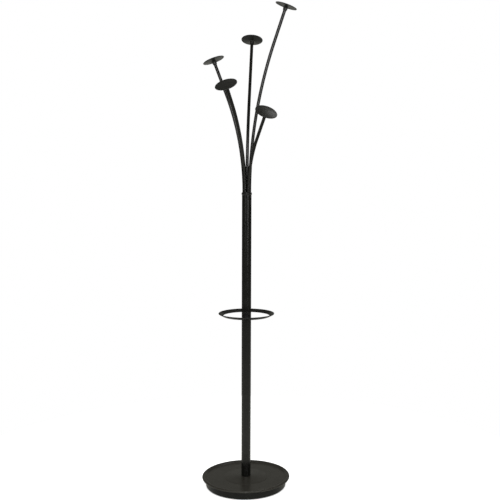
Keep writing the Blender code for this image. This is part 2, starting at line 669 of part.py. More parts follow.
def peg_profile():
    rim_centre = PEG_DIAMETER / 2 - PEG_RIM_RADIUS
    neck = PEG_NECK_DIAMETER / 2
    neck_end = -PEG_BELLY - PEG_NECK_LENGTH
    seat = -rod_end_drop() + FIT_GAP
    seat_radius = ROD_RADIUS + SOCKET_GAP
    stud_radius = STUD_DIAMETER / 2 + SOCKET_GAP
    stud_top = seat + STUD_IN_PEG + FIT_GAP
    dome_height = PEG_DOME - PEG_RIM_RADIUS
    dome = []
    for step in range(DOME_STEPS):
        share = step / DOME_STEPS
        dome.append((rim_centre * share, PEG_RIM_RADIUS + dome_height * (1 - share ** 2)))
    rim = arc(rim_centre, 0.0, PEG_RIM_RADIUS, 90, -90, 3)
    belly = [(neck + PEG_FILLET, -PEG_BELLY + PEG_FILLET_LIFT)]
    belly += [(neck + PEG_FILLET * PEG_FILLET_CENTRE_SHARE, -PEG_BELLY - PEG_FILLET_DROP)]
    belly += [(neck, -PEG_BELLY - PEG_FILLET)]
    neck_wall = [(neck - PEG_NECK_TAPER, neck_end), (seat_radius, neck_end)]
    bore = [(seat_radius, seat), (stud_radius, seat), (stud_radius, stud_top), (0.0, stud_top)]
    return dome + rim + belly + neck_wall + bore


def make_peg(name, pivot, peg_place, lean):
    peg = turned(f"{name}_peg", peg_profile(), ROUND_MEDIUM, PARTS, PEG_PLASTIC)
    tilt_to_peg(peg, pivot, peg_place, lean)
    stud = cylinder(f"{name}_peg_stud", STUD_DIAMETER / 2, -rod_end_drop() - STUD_IN_ROD,
                    -rod_end_drop() + STUD_IN_PEG, ROUND_TINY, PARTS, ZINC)
    tilt_to_peg(stud, pivot, peg_place, lean)


def make_arms():
    for index, (name, turn, bend_radius, bend_angle, straight) in enumerate(ARMS):
        pivot = make_pivot(name, index, turn)
        make_arm(name, pivot, bend_radius, bend_angle, straight)
        peg_place = arm_path(bend_radius, bend_angle, straight)[1]
        make_peg(name, pivot, peg_place, math.radians(bend_angle))


make_tray()
make_skirt()
make_ballast()
make_base_plate()
make_feet()
make_bolt_plug()
make_base_screws()
make_base_bolt()
make_pole()
make_umbrella_ring()
make_collar()
make_arms()
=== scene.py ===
"""Looks of the standing coat rack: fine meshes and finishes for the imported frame's nodes,
the floor, the studio light and the camera."""

import json
import math

import bmesh
import bpy
from mathutils import Matrix, Vector


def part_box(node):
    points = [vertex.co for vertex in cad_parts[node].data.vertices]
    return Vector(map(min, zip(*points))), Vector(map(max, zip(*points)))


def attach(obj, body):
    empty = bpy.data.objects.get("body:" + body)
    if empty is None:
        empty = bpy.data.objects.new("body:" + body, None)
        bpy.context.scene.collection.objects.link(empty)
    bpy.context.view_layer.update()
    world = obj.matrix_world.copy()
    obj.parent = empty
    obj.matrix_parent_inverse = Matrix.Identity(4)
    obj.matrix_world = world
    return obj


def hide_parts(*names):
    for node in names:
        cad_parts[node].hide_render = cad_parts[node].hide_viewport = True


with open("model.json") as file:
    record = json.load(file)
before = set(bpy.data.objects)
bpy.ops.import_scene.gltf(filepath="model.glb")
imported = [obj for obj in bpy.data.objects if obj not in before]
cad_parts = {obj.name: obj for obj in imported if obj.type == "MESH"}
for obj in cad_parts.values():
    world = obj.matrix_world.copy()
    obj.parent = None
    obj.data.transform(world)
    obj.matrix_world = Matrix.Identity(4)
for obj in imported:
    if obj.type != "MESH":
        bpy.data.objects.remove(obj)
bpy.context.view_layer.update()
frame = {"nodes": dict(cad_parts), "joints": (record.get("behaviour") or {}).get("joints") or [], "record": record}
record = frame["record"]

MM = 0.001

# ---------------------------------------------------------------- sizes from the frame

tube_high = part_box("lower_tube")[1]
collar_low, collar_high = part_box("arm_collar")
tray_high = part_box("drip_tray")[1]
skirt_low, skirt_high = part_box("base_skirt")
ring_low, ring_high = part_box("umbrella_ring")
foot_low, foot_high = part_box("rubber_foot_1")
screw_low, screw_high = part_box("base_screw_1")
plug_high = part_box("bolt_cover_plug")[1]

TUBE_RADIUS = tube_high.x
BEAD_RADIUS = collar_high.x
COLLAR_TOP = collar_high.z
BASE_RADIUS = tray_high.x
LIP_TOP = tray_high.z
SKIRT_RADIUS = skirt_high.x

# ---------------------------------------------------------------- sizes of the design

FIT_GAP = 0.3 * MM          # between pieces that touch on the real object

# Arms. Each: name, turn from its socket's direction (deg), bend radius,
# bend angle (deg), straight length above the bend
ARMS = (
    ("rear", -5.0, 1.060, 18.7, 0.270),
    ("left", 6.0, 1.010, 21.4, 0.140),
    ("front_left", 10.5, 0.575, 35.0, 0.075),
    ("front_right", -7.0, 0.323, 37.5, 0.124),
    ("right", -20.0, 1.800, 18.3, 0.140),
)
ROD_RADIUS = 6 * MM
ROD_STEPS = 96
ROD_SIDES = 40

# Pegs; heights are measured from the middle plane of the rim
PEG_RADIUS = 42 * MM
PEG_DOME = 5.8 * MM
PEG_DOME_STEPS = 14
PEG_RIM_ROUND = 1.5 * MM
PEG_BELLY = 6.2 * MM
PEG_BELLY_FILLET = 6 * MM
PEG_NECK_RADIUS = 8.25 * MM
PEG_NECK_FLARE = 0.6 * MM
PEG_NECK_END = -17.7 * MM
PEG_BORE_RADIUS = ROD_RADIUS + 0.25 * MM
PEG_BORE_END = -8.7 * MM
ROD_END_IN_NECK = -9.2 * MM
PEG_SIDES = 128

# Pole and collar
TUBE_WALL = 1.5 * MM
TUBE_EDGE = 0.4 * MM
TUBE_SIDES = 128
COLLAR_BEAD_HEIGHT = 12 * MM
COLLAR_FLAT_RADIUS = TUBE_RADIUS - 0.5 * MM
COLLAR_BEAD_BELLY = 5.6 * MM        # depth of the bead's widest part below the top
COLLAR_BEAD_BELLY_END = 7.4 * MM

# Umbrella ring
RING_HEIGHT = (ring_low.z + ring_high.z) / 2
RING_SLOPE = math.radians(28)
RING_BAND = 21 * MM
RING_THICKNESS = 3.6 * MM
RING_RADIUS = 98.5 * MM
RING_SIDES = 192
SPOKE_WIDTH = 30 * MM
SPOKE_THICKNESS = 4 * MM
SPOKE_FILLET = 12 * MM
HUB_EDGE = 0.5 * MM
HUB_BORE_RADIUS = 6.3 * MM
BORE_SIDES = 48

# Base
TRAY_FLOOR = LIP_TOP - 6.6 * MM
TRAY_CENTRE = TRAY_FLOOR + 4.8 * MM
TRAY_HOLE_RADIUS = 10.3 * MM
CONE_RADIUS = 84.7 * MM
CONE_STEP = 0.8 * MM
CONE_STEP_ROUND = 0.5 * MM
LIP_WIDTH = 16.5 * MM
LIP_UNDERSIDE = LIP_TOP - 9.2 * MM
LIP_ROUND = 4.55 * MM
LIP_SHOULDER_RUN = 6 * MM           # inner edge of the lip to its shoulder
LIP_SHOULDER_DROP = 0.8 * MM
RIB_DEPTH = 4 * MM                  # rib under the lip that centres the skirt
RIB_ROUND = 0.3 * MM
SHELL_WALL = 1.8 * MM
SKIRT_EDGE = 2 * MM
BASE_SIDES = 256
UNDER_SKIRT = skirt_low.z - FIT_GAP     # face that feet, screws and plug sit against
FOOT_COUNT = 6
FOOT_SIDES = 48
FOOT_STEM_RADIUS = 3 * MM
FOOT_DISH_RIM = 4 * MM
FOOT_DISH_DEPTH = 0.6 * MM
SCREW_COUNT = 4
SCREW_SIDES = 40
SCREW_SHANK_RADIUS = 1.8 * MM
SCREW_POINT_TAPER = 0.8 * MM
SCREW_POINT_LENGTH = 1.5 * MM
CROSS_RECESS = (4.4 * MM, 1.0 * MM, 2.4 * MM)
PLUG_BODY_RADIUS = 19.7 * MM
PLUG_SIDES = 96

# ---------------------------------------------------------------- studio sizes

CAMERA_DISTANCE = 3.165
CAMERA_HEIGHT = 1.236
CAMERA_TIP = 5.445
CAMERA_TURN = 2.961
CAMERA_ROLL = 0.45
CAMERA_SENSOR = 36.0
CAMERA_FOCAL_SHARE = 1.6473     # focal length as a share of the frame's width
CAMERA_SHIFT_X = -0.0780
CAMERA_CLIP_START = 0.05

FLOOR_RADIUS = 1.3
FLOOR_SIDES = 96
# Painted light on the floor: how strongly it glows outside the base, which paints out the base's cast shadow, and
# how far in from the skirt's edge the glow fades, which leaves a painted shadow
FLOOR_PAINTED_GLOW = 0.86
FLOOR_SHADE_REACH = 6 * MM      # how far inside the skirt's edge the glow has gone

# Brightness of the room seen in reflections, against the upward part of a direction
ROOM_LEVELS = (
    (-1.0, 0.20), (-0.6, 0.22), (-0.4, 0.76), (-0.3, 0.76), (-0.24, 0.36), (-0.16, 0.12),
    (-0.05, 0.04), (0.04, 0.03), (0.12, 0.12), (0.2, 0.30), (0.28, 0.33),
    (0.36, 0.19), (0.43, 0.03), (0.5, 0.05), (0.65, 0.15), (0.9, 0.18),
)
ROOM_TINT = "fffff4"

# Each softbox: name, azimuth (deg), distance, height, width, tall, radiance, aim height,
# and whether it shows in reflections
SOFTBOXES = (
    ("left_softbox", -35, 2.6, 1.75, 0.35, 1.7, 2.4, 1.4, True),
    ("right_softbox", 32, 2.6, 1.50, 0.30, 1.5, 5.6, 1.4, True),
    ("front_softbox", -2, 3.0, 2.05, 1.9, 0.8, 6.0, 1.7, True),
    ("high_softbox", 125, 1.6, 3.4, 0.9, 0.9, 1.8, 1.4, True),
    ("ceiling_fill", 0, 0.2, 4.6, 3.2, 3.2, 3.0, 0.0, False),
)

# ---------------------------------------------------------------- mesh making

LONG_RUN = 3 * MM           # runs longer than this get holding points
HOLD = 0.5 * MM             # distance of a holding point from the run's end
WELD = 0.002 * MM
SHARP_DEGREES = 35


# ---------------------------------------------------------------- node helper

def linear(hex_colour):
    """An sRGB colour such as "1a1b1c" as linear RGBA."""
    channels = []
    for start in (0, 2, 4):
        value = int(hex_colour[start:start + 2], 16) / 255
        channels.append(value / 12.92 if value <= 0.04045 else ((value + 0.055) / 1.055) ** 2.4)
    return (*channels, 1.0)


def add_node(tree, kind, links=(), values=(), **settings):
    """One node, its settings, its input values and the links into it."""
    node = tree.nodes.new(kind)
    for name, value in settings.items():
        setattr(node, name, value)
    for socket, value in values:
        node.inputs[socket].default_value = value
    for socket, source in links:
        tree.links.new(source, node.inputs[socket])
    return node


# ---------------------------------------------------------------- finishes

PEEL_SIZE = 1.6 * MM        # waves of the powder coat's orange peel
PEEL_DEPTH = 0.02 * MM
AIR_HOLE_SPACING = 5 * MM   # between the holes that the pour leaves in the cement


def start_material(name, roughness, metallic=0.0, ior=1.5):
    """A material whose plain values sit on the shader's own sockets."""
    material = bpy.data.materials.new(name)
    material.use_nodes = True
    tree = material.node_tree
    shader = tree.nodes["Principled BSDF"]
    shader.inputs["Roughness"].default_value = roughness
    shader.inputs["Metallic"].default_value = metallic
    shader.inputs["IOR"].default_value = ior
    return material, tree, shader


def mottled_colour(tree, shader, dark, light, blotch_size, position):
    """Slow drift between two close colours, in blotches of the given size."""
    blotches = add_node(tree, "ShaderNodeTexNoise", [("Vector", position)],
                        [("Scale", 1 / blotch_size), ("Detail", 3.0), ("Roughness", 0.6)])
    share = add_node(tree, "ShaderNodeMapRange", [("Value", blotches.outputs["Fac"])],
                     [("From Min", 0.3), ("From Max", 0.7), ("To Min", 0.0), ("To Max", 1.0)])
    mix = add_node(tree, "ShaderNodeMix", [(0, share.outputs["Result"])],
                   [(6, linear(dark)), (7, linear(light))], data_type='RGBA')
    tree.links.new(mix.outputs[2], shader.inputs["Base Color"])


def uneven_roughness(tree, shader, low, high, patch_size, position):
    """Roughness that drifts between two values, in patches of the given size."""
    patches = add_node(tree, "ShaderNodeTexNoise", [("Vector", position)],
                       [("Scale", 1 / patch_size), ("Detail", 4.0), ("Roughness", 0.65)])
    spread = add_node(tree, "ShaderNodeMapRange", [("Value", patches.outputs["Fac"])],
                      [("From Min", 0.3), ("From Max", 0.7), ("To Min", low), ("To Max", high)])
    tree.links.new(spread.outputs["Result"], shader.inputs["Roughness"])


def fine_bump(tree, shader, height, depth, strength):
    """Relief of the given depth in metres from a height between 0 and 1."""
    bump = add_node(tree, "ShaderNodeBump", [("Height", height)],
                    [("Strength", strength), ("Distance", depth)])
    tree.links.new(bump.outputs["Normal"], shader.inputs["Normal"])


def make_powder_coat(name, dark, light, roughness):
    """Black polyester powder coat, sprayed and baked on steel: a semi-gloss film with
    a slight orange peel that softens and breaks up its long highlights."""
    material, tree, shader = start_material(name, roughness, ior=1.5)
    position = add_node(tree, "ShaderNodeTexCoord").outputs["Object"]
    mottled_colour(tree, shader, dark, light, 60 * MM, position)
    uneven_roughness(tree, shader, roughness - 0.04, roughness + 0.05, 25 * MM, position)
    peel = add_node(tree, "ShaderNodeTexNoise", [("Vector", position)],
                    [("Scale", 1 / PEEL_SIZE), ("Detail", 2.0), ("Roughness", 0.5)])
    fine_bump(tree, shader, peel.outputs["Fac"], PEEL_DEPTH, 0.3)
    return material


def make_moulded_plastic(name, dark, light, roughness, grain_size, grain_depth, ior=1.54):
    """Injection-moulded black ABS from a spark-eroded tool: an even fine grain that
    scatters the highlight, with faint flow marks in its gloss."""
    material, tree, shader = start_material(name, roughness, ior=ior)
    position = add_node(tree, "ShaderNodeTexCoord").outputs["Object"]
    mottled_colour(tree, shader, dark, light, 35 * MM, position)
    uneven_roughness(tree, shader, roughness - 0.05, roughness + 0.06, 18 * MM, position)
    # the tool's own grain is about 0.2 mm across; it is drawn coarser so that it shows
    grain = add_node(tree, "ShaderNodeTexVoronoi", [("Vector", position)],
                     [("Scale", 1 / grain_size), ("Randomness", 1.0)], feature='SMOOTH_F1')
    fine_bump(tree, shader, grain.outputs["Distance"], grain_depth, 0.3)
    return material


def make_rubber():
    """Black moulded rubber: dull, with a dusty bloom."""
    material, tree, shader = start_material("black_rubber", 0.85, ior=1.52)
    position = add_node(tree, "ShaderNodeTexCoord").outputs["Object"]
    mottled_colour(tree, shader, "141414", "242423", 8 * MM, position)
    grain = add_node(tree, "ShaderNodeTexNoise", [("Vector", position)],
                     [("Scale", 1 / (0.6 * MM)), ("Detail", 2.0)])
    fine_bump(tree, shader, grain.outputs["Fac"], 0.06 * MM, 0.4)
    return material


def make_zinc_plate():
    """Zinc-plated steel: pale blue-grey metal with a fine crystalline haze."""
    material, tree, shader = start_material("zinc_plated_steel", 0.32, metallic=1.0)
    position = add_node(tree, "ShaderNodeTexCoord").outputs["Object"]
    mottled_colour(tree, shader, "8f9396", "b7bbbe", 3 * MM, position)
    uneven_roughness(tree, shader, 0.26, 0.42, 2 * MM, position)
    return material


def make_cement():
    """Cast cement: pale grey, rough, with air holes left by the pour."""
    material, tree, shader = start_material("cast_cement", 0.95, ior=1.5)
    position = add_node(tree, "ShaderNodeTexCoord").outputs["Object"]
    mottled_colour(tree, shader, "77746d", "98958d", 12 * MM, position)
    holes = add_node(tree, "ShaderNodeTexVoronoi", [("Vector", position)],
                     [("Scale", 1 / AIR_HOLE_SPACING)])
    fine_bump(tree, shader, holes.outputs["Distance"], 0.8 * MM, 0.7)
    return material


def make_nylon():
    """Natural moulded nylon: milky off-white with a soft sheen."""
    material, tree, shader = start_material("natural_nylon", 0.5, ior=1.53)
    position = add_node(tree, "ShaderNodeTexCoord").outputs["Object"]
    mottled_colour(tree, shader, "c9c4b4", "dad6c8", 10 * MM, position)
    grain = add_node(tree, "ShaderNodeTexNoise", [("Vector", position)], [("Scale", 1 / (1 * MM))])
    fine_bump(tree, shader, grain.outputs["Fac"], 0.04 * MM, 0.4)
    return material


FINISHES = {
    "tube_paint": make_powder_coat("black_powder_coat_tube", "0b0b09", "10100d", 0.24),
    "rod_paint": make_powder_coat("black_powder_coat_rod", "0d0d0b", "12120f", 0.26),
    "plate_steel": make_powder_coat("black_powder_coat_plate", "1c1c1c", "242424", 0.50),
    "peg_plastic": make_moulded_plastic(
        "moulded_abs_peg", "111110", "171714", 0.36, 0.7 * MM, 0.04 * MM),
    "collar_plastic": make_moulded_plastic(
        "moulded_abs_collar", "0e0e0c", "131310", 0.34, 0.6 * MM, 0.03 * MM),
    "ring_plastic": make_moulded_plastic(
        "moulded_abs_ring", "111110", "171716", 0.34, 0.7 * MM, 0.03 * MM, ior=1.40),
    "tray_plastic": make_moulded_plastic(
        "moulded_abs_tray", "2c2a25", "32302b", 0.31, 0.9 * MM, 0.03 * MM),
    "skirt_plastic": make_moulded_plastic(
        "moulded_abs_skirt", "0f0f0e", "141412", 0.42, 0.9 * MM, 0.06 * MM, ior=1.38),
    "cement": make_cement(),
    "zinc_steel": make_zinc_plate(),
    "rubber": make_rubber(),
    "insert_nylon": make_nylon(),
}


def finish_cad_nodes():
    """Every carried-over node takes the finish of its own material slot."""
    slot_of = {entry["node"]: entry["material_slot"] for entry in record["subparts"]}
    for name, node in frame["nodes"].items():
        node.data.materials.clear()
        node.data.materials.append(FINISHES[slot_of[name]])


# ---------------------------------------------------------------- mesh helpers

def arc(centre_x, centre_z, radius, start, end, steps):
    """Points on an arc, with its angles in degrees from +X."""
    points = []
    for step in range(steps + 1):
        angle = math.radians(start + (end - start) * step / steps)
        points.append((centre_x + radius * math.cos(angle), centre_z + radius * math.sin(angle)))
    return points


def rounded(corners, steps=6):
    """An outline from (x, z, fillet radius) corners, each fillet drawn as an arc."""
    outline = []
    last = len(corners) - 1
    for index, (x, z, fillet) in enumerate(corners):
        if fillet == 0.0 or index in (0, last):
            outline.append((x, z))
            continue
        here = Vector((x, z))
        before = (Vector(corners[index - 1][:2]) - here).normalized()
        after = (Vector(corners[index + 1][:2]) - here).normalized()
        half_angle = before.angle(after) / 2
        reach = fillet / math.tan(half_angle)
        centre = here + (before + after).normalized() * (fillet / math.sin(half_angle))
        first = here + before * reach - centre
        turn = first.angle_signed(here + after * reach - centre)
        for step in range(steps + 1):
            spoke = first.copy()
            spoke.rotate(Matrix.Rotation(-turn * step / steps, 2))
            outline.append(tuple(centre + spoke))
    return outline


def to_object(name, shape, sharp_degrees=SHARP_DEGREES):
    """A finished piece at the origin from a bmesh, shaded smooth with sharp edges kept."""
    mesh = bpy.data.meshes.new(name)
    shape.to_mesh(mesh)
    shape.free()
    mesh.shade_smooth()
    mesh.set_sharp_from_angle(angle=math.radians(sharp_degrees))
    piece = bpy.data.objects.new(name, mesh)
    bpy.context.scene.collection.objects.link(piece)
    return piece


def with_holding_points(profile):
    """The outline with a point close to each end of its long runs, so that smooth shading
    turns only at the corners and the runs stay straight."""
    held = [profile[0]]
    for start, end in zip(profile, profile[1:]):
        first, last = Vector(start), Vector(end)
        length = (last - first).length
        if length > LONG_RUN:
            along = (last - first) / length
            held += [tuple(first + along * HOLD), tuple(last - along * HOLD)]
        held.append(end)
    return held


def turned_shape(profile, sides, closed=False):
    """A bmesh of a (radius, height) profile turned round Z."""
    profile = with_holding_points(profile + profile[:1] if closed else profile)
    if closed:
        profile = profile[:-1]
    shape = bmesh.new()
    vertices = [shape.verts.new((radius, 0.0, height)) for radius, height in profile]
    edges = [shape.edges.new(pair) for pair in zip(vertices, vertices[1:])]
    if closed:
        edges.append(shape.edges.new((vertices[-1], vertices[0])))
    bmesh.ops.spin(shape, geom=vertices + edges, cent=(0, 0, 0), axis=(0, 0, 1),
                   angle=2 * math.pi, steps=sides)
    bmesh.ops.remove_doubles(shape, verts=shape.verts, dist=WELD)
    bmesh.ops.recalc_face_normals(shape, faces=shape.faces)
    return shape


def turned(name, profile, sides, closed=False, sharp_degrees=SHARP_DEGREES):
    """A finished piece from a (radius, height) profile turned round Z."""
    return to_object(name, turned_shape(profile, sides, closed), sharp_degrees)


def evaluated_copy(source, name):
    """The evaluated mesh of an object as a plain piece at the origin; the source goes."""
    bpy.context.view_layer.update()
    graph = bpy.context.evaluated_depsgraph_get()
    mesh = bpy.data.meshes.new_from_object(source.evaluated_get(graph))
    mesh.transform(source.matrix_world)
    mesh.name = name
    bpy.data.objects.remove(source)
    piece = bpy.data.objects.new(name, mesh)
    bpy.context.scene.collection.objects.link(piece)
    return piece


def boolean(piece, tool, operation):
    """Join or cut a piece with a tool at once, and remove the tool."""
    modifier = piece.modifiers.new(operation, 'BOOLEAN')
    modifier.operation = operation
    modifier.solver = 'EXACT'
    modifier.object = tool
    bpy.context.view_layer.update()
    graph = bpy.context.evaluated_depsgraph_get()
    mesh = bpy.data.meshes.new_from_object(piece.evaluated_get(graph))
    piece.modifiers.clear()
    piece.data = mesh
    bpy.data.objects.remove(tool)
    return piece


def settle(piece, slot, body, *nodes):
    """Give a finished piece its finish and its body, and hide the CAD nodes that it stands for."""
    piece.data.materials.clear()
    piece.data.materials.append(FINISHES[slot])
    for polygon in piece.data.polygons:
        polygon.material_index = 0
    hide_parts(*nodes)
    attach(piece, body)


# ---------------------------------------------------------------- Geometry Nodes trees

def new_tree(name, inputs):
    """A geometry node group with a geometry in and out, and named inputs with defaults."""
    tree = bpy.data.node_groups.new(name, 'GeometryNodeTree')
    tree.interface.new_socket("Geometry", in_out='INPUT', socket_type='NodeSocketGeometry')
    for label, kind, default in inputs:
        socket = tree.interface.new_socket(label, in_out='INPUT', socket_type=kind)
        if default is not None:
            socket.default_value = default
    tree.interface.new_socket("Geometry", in_out='OUTPUT', socket_type='NodeSocketGeometry')
    return tree, tree.nodes.new("NodeGroupInput").outputs


def finish_tree(tree, geometry, material):
    """Realise, set the material and send the geometry out."""
    real = add_node(tree, "GeometryNodeRealizeInstances", [("Geometry", geometry)])
    painted = add_node(tree, "GeometryNodeSetMaterial",
                       [("Geometry", real.outputs["Geometry"]), ("Material", material)])
    add_node(tree, "NodeGroupOutput", [("Geometry", painted.outputs["Geometry"])])
    return tree


def make_bent_rod_tree():
    """A round rod that starts a small gap above the origin, bends towards +X on one
    radius and runs on straight."""
    tree, given = new_tree("bent_rod", (
        ("Bend Radius", 'NodeSocketFloat', 1.0), ("Bend Angle", 'NodeSocketFloat', 0.3),
        ("Straight", 'NodeSocketFloat', 0.1), ("Start Gap", 'NodeSocketFloat', FIT_GAP),
        ("Rod Radius", 'NodeSocketFloat', ROD_RADIUS),
        ("Steps", 'NodeSocketInt', ROD_STEPS), ("Sides", 'NodeSocketInt', ROD_SIDES),
        ("Material", 'NodeSocketMaterial', None)))
    bend_radius = given["Bend Radius"]
    angle = given["Bend Angle"]
    gap = given["Start Gap"]
    bent_length = add_node(tree, "ShaderNodeMath", [(0, bend_radius), (1, angle)],
                           operation='MULTIPLY').outputs[0]
    length = add_node(tree, "ShaderNodeMath", [(0, bent_length), (1, given["Straight"])],
                      operation='ADD').outputs[0]

    # distance along the rod, from the gap at the first point to the end at the last
    index = add_node(tree, "GeometryNodeInputIndex").outputs["Index"]
    last = add_node(tree, "ShaderNodeMath", [(0, given["Steps"])], [(1, 1)],
                    operation='SUBTRACT').outputs[0]
    share = add_node(tree, "ShaderNodeMath", [(0, index), (1, last)],
                     operation='DIVIDE').outputs[0]
    run = add_node(tree, "ShaderNodeMath", [(0, length), (1, gap)],
                   operation='SUBTRACT').outputs[0]
    run_so_far = add_node(tree, "ShaderNodeMath", [(0, share), (1, run)],
                          operation='MULTIPLY').outputs[0]
    along = add_node(tree, "ShaderNodeMath", [(0, run_so_far), (1, gap)],
                     operation='ADD').outputs[0]

    # how much of that distance lies in the bend, and how much past it
    in_bend = add_node(tree, "ShaderNodeMath", [(0, along), (1, bent_length)],
                       operation='MINIMUM').outputs[0]
    beyond = add_node(tree, "ShaderNodeMath", [(0, along), (1, bent_length)],
                      operation='SUBTRACT').outputs[0]
    past_bend = add_node(tree, "ShaderNodeMath", [(0, beyond)], [(1, 0.0)],
                         operation='MAXIMUM').outputs[0]
    turn = add_node(tree, "ShaderNodeMath", [(0, in_bend), (1, bend_radius)],
                    operation='DIVIDE').outputs[0]

    # outwards and upwards: each is a part from the bend and a part from the straight
    cosine = add_node(tree, "ShaderNodeMath", [(0, turn)], operation='COSINE').outputs[0]
    one_less_cosine = add_node(tree, "ShaderNodeMath", [(1, cosine)], [(0, 1.0)],
                               operation='SUBTRACT').outputs[0]
    sine = add_node(tree, "ShaderNodeMath", [(0, turn)], operation='SINE').outputs[0]
    lean_out = add_node(tree, "ShaderNodeMath", [(0, angle)], operation='SINE').outputs[0]
    lean_up = add_node(tree, "ShaderNodeMath", [(0, angle)], operation='COSINE').outputs[0]
    bend_out = add_node(tree, "ShaderNodeMath", [(0, bend_radius), (1, one_less_cosine)],
                        operation='MULTIPLY').outputs[0]
    bend_up = add_node(tree, "ShaderNodeMath", [(0, bend_radius), (1, sine)],
                       operation='MULTIPLY').outputs[0]
    straight_out = add_node(tree, "ShaderNodeMath", [(0, past_bend), (1, lean_out)],
                            operation='MULTIPLY').outputs[0]
    straight_up = add_node(tree, "ShaderNodeMath", [(0, past_bend), (1, lean_up)],
                           operation='MULTIPLY').outputs[0]
    x = add_node(tree, "ShaderNodeMath", [(0, bend_out), (1, straight_out)],
                 operation='ADD').outputs[0]
    z = add_node(tree, "ShaderNodeMath", [(0, bend_up), (1, straight_up)],
                 operation='ADD').outputs[0]
    place = add_node(tree, "ShaderNodeCombineXYZ", [("X", x), ("Z", z)])
    line = add_node(tree, "GeometryNodeMeshLine", [("Count", given["Steps"])])
    path = add_node(tree, "GeometryNodeMeshToCurve", [("Mesh", line.outputs["Mesh"])])
    bent = add_node(tree, "GeometryNodeSetPosition",
                    [("Geometry", path.outputs["Curve"]), ("Position", place.outputs["Vector"])])
    circle = add_node(tree, "GeometryNodeCurvePrimitiveCircle",
                      [("Resolution", given["Sides"]), ("Radius", given["Rod Radius"])])
    rod = add_node(tree, "GeometryNodeCurveToMesh",
                   [("Curve", bent.outputs["Geometry"]), ("Profile Curve", circle.outputs["Curve"])],
                   [("Fill Caps", True)])
    return finish_tree(tree, rod.outputs["Mesh"], given["Material"])


def make_circle_tree():
    """Copies of the piece it sits on, spaced evenly on a circle about Z."""
    tree, given = new_tree("pieces_on_a_circle", (
        ("Count", 'NodeSocketInt', 6), ("Circle Radius", 'NodeSocketFloat', 0.1),
        ("First Angle", 'NodeSocketFloat', 0.0), ("Material", 'NodeSocketMaterial', None)))
    index = add_node(tree, "GeometryNodeInputIndex").outputs["Index"]
    share = add_node(tree, "ShaderNodeMath", [(0, index), (1, given["Count"])],
                     operation='DIVIDE').outputs[0]
    past_first = add_node(tree, "ShaderNodeMath", [(0, share)], [(1, 2 * math.pi)],
                          operation='MULTIPLY').outputs[0]
    angle = add_node(tree, "ShaderNodeMath", [(0, past_first), (1, given["First Angle"])],
                     operation='ADD').outputs[0]
    cosine = add_node(tree, "ShaderNodeMath", [(0, angle)], operation='COSINE').outputs[0]
    sine = add_node(tree, "ShaderNodeMath", [(0, angle)], operation='SINE').outputs[0]
    x = add_node(tree, "ShaderNodeMath", [(0, cosine), (1, given["Circle Radius"])],
                 operation='MULTIPLY').outputs[0]
    y = add_node(tree, "ShaderNodeMath", [(0, sine), (1, given["Circle Radius"])],
                 operation='MULTIPLY').outputs[0]
    place = add_node(tree, "ShaderNodeCombineXYZ", [("X", x), ("Y", y)])
    points = add_node(tree, "GeometryNodePoints",
                      [("Count", given["Count"]), ("Position", place.outputs["Vector"])])
    turn = add_node(tree, "ShaderNodeCombineXYZ", [("Z", angle)])
    copies = add_node(tree, "GeometryNodeInstanceOnPoints",
                      [("Points", points.outputs[0]), ("Instance", given["Geometry"]),
                       ("Rotation", turn.outputs["Vector"])])
    return finish_tree(tree, copies.outputs["Instances"], given["Material"])


def run_tree(piece, tree, name, **values):
    """Run a tree on a piece with inputs given by name, and keep the result as a mesh."""
    modifier = piece.modifiers.new(tree.name, 'NODES')
    modifier.node_group = tree
    sockets = {item.name: item.identifier for item in tree.interface.items_tree
               if item.in_out == 'INPUT'}
    for label, value in values.items():
        modifier[sockets[label.replace("_", " ")]] = value
    result = evaluated_copy(piece, name)
    result.data.shade_smooth()
    result.data.set_sharp_from_angle(angle=math.radians(SHARP_DEGREES))
    return result


# ---------------------------------------------------------------- arms and pegs

def arm_frame(name, turn):
    """Matrix from an arm's own upright plane to its place on the collar."""
    joint = next(item for item in frame["joints"] if item["name"] == f"{name}_arm_swivel")
    foot = Vector(joint["pos_m"])
    socket_direction = math.atan2(foot.y, foot.x)
    return Matrix.Translation(foot) @ Matrix.Rotation(socket_direction + math.radians(turn), 4, 'Z')


def peg_frame(bend_radius, bend_angle, straight):
    """Matrix from a peg's own axis to the top of its arm, in the arm's plane."""
    lean = math.radians(bend_angle)
    x = bend_radius * (1 - math.cos(lean)) + straight * math.sin(lean)
    z = bend_radius * math.sin(lean) + straight * math.cos(lean)
    return Matrix.Translation((x, 0.0, z)) @ Matrix.Rotation(lean, 4, 'Y')


def peg_profile():
    """Thin lens with a rounded rim, a flat-coned belly and a short flared neck."""
    rim = PEG_RADIUS - PEG_RIM_ROUND
    dome = []
    dome_height = PEG_DOME - PEG_RIM_ROUND
    for step in range(PEG_DOME_STEPS):
        share = step / PEG_DOME_STEPS
        dome.append((rim * share, PEG_RIM_ROUND + dome_height * (1 - share ** 2)))
    outline = dome + arc(rim, 0.0, PEG_RIM_ROUND, 90, -90, 8)
    belly = rounded([
        (rim, -PEG_RIM_ROUND, 0.0),
        (PEG_NECK_RADIUS + PEG_NECK_FLARE, -PEG_BELLY, PEG_BELLY_FILLET),
        (PEG_NECK_RADIUS - 0.4 * MM, PEG_NECK_END + 2 * MM, 0.6 * MM),
        (PEG_NECK_RADIUS - 0.9 * MM, PEG_NECK_END, 0.4 * MM),
        (PEG_BORE_RADIUS, PEG_NECK_END, 0.0)], steps=7)
    bore = [(PEG_BORE_RADIUS, PEG_BORE_END), (0.0, PEG_BORE_END)]
    return outline + belly[1:] + bore


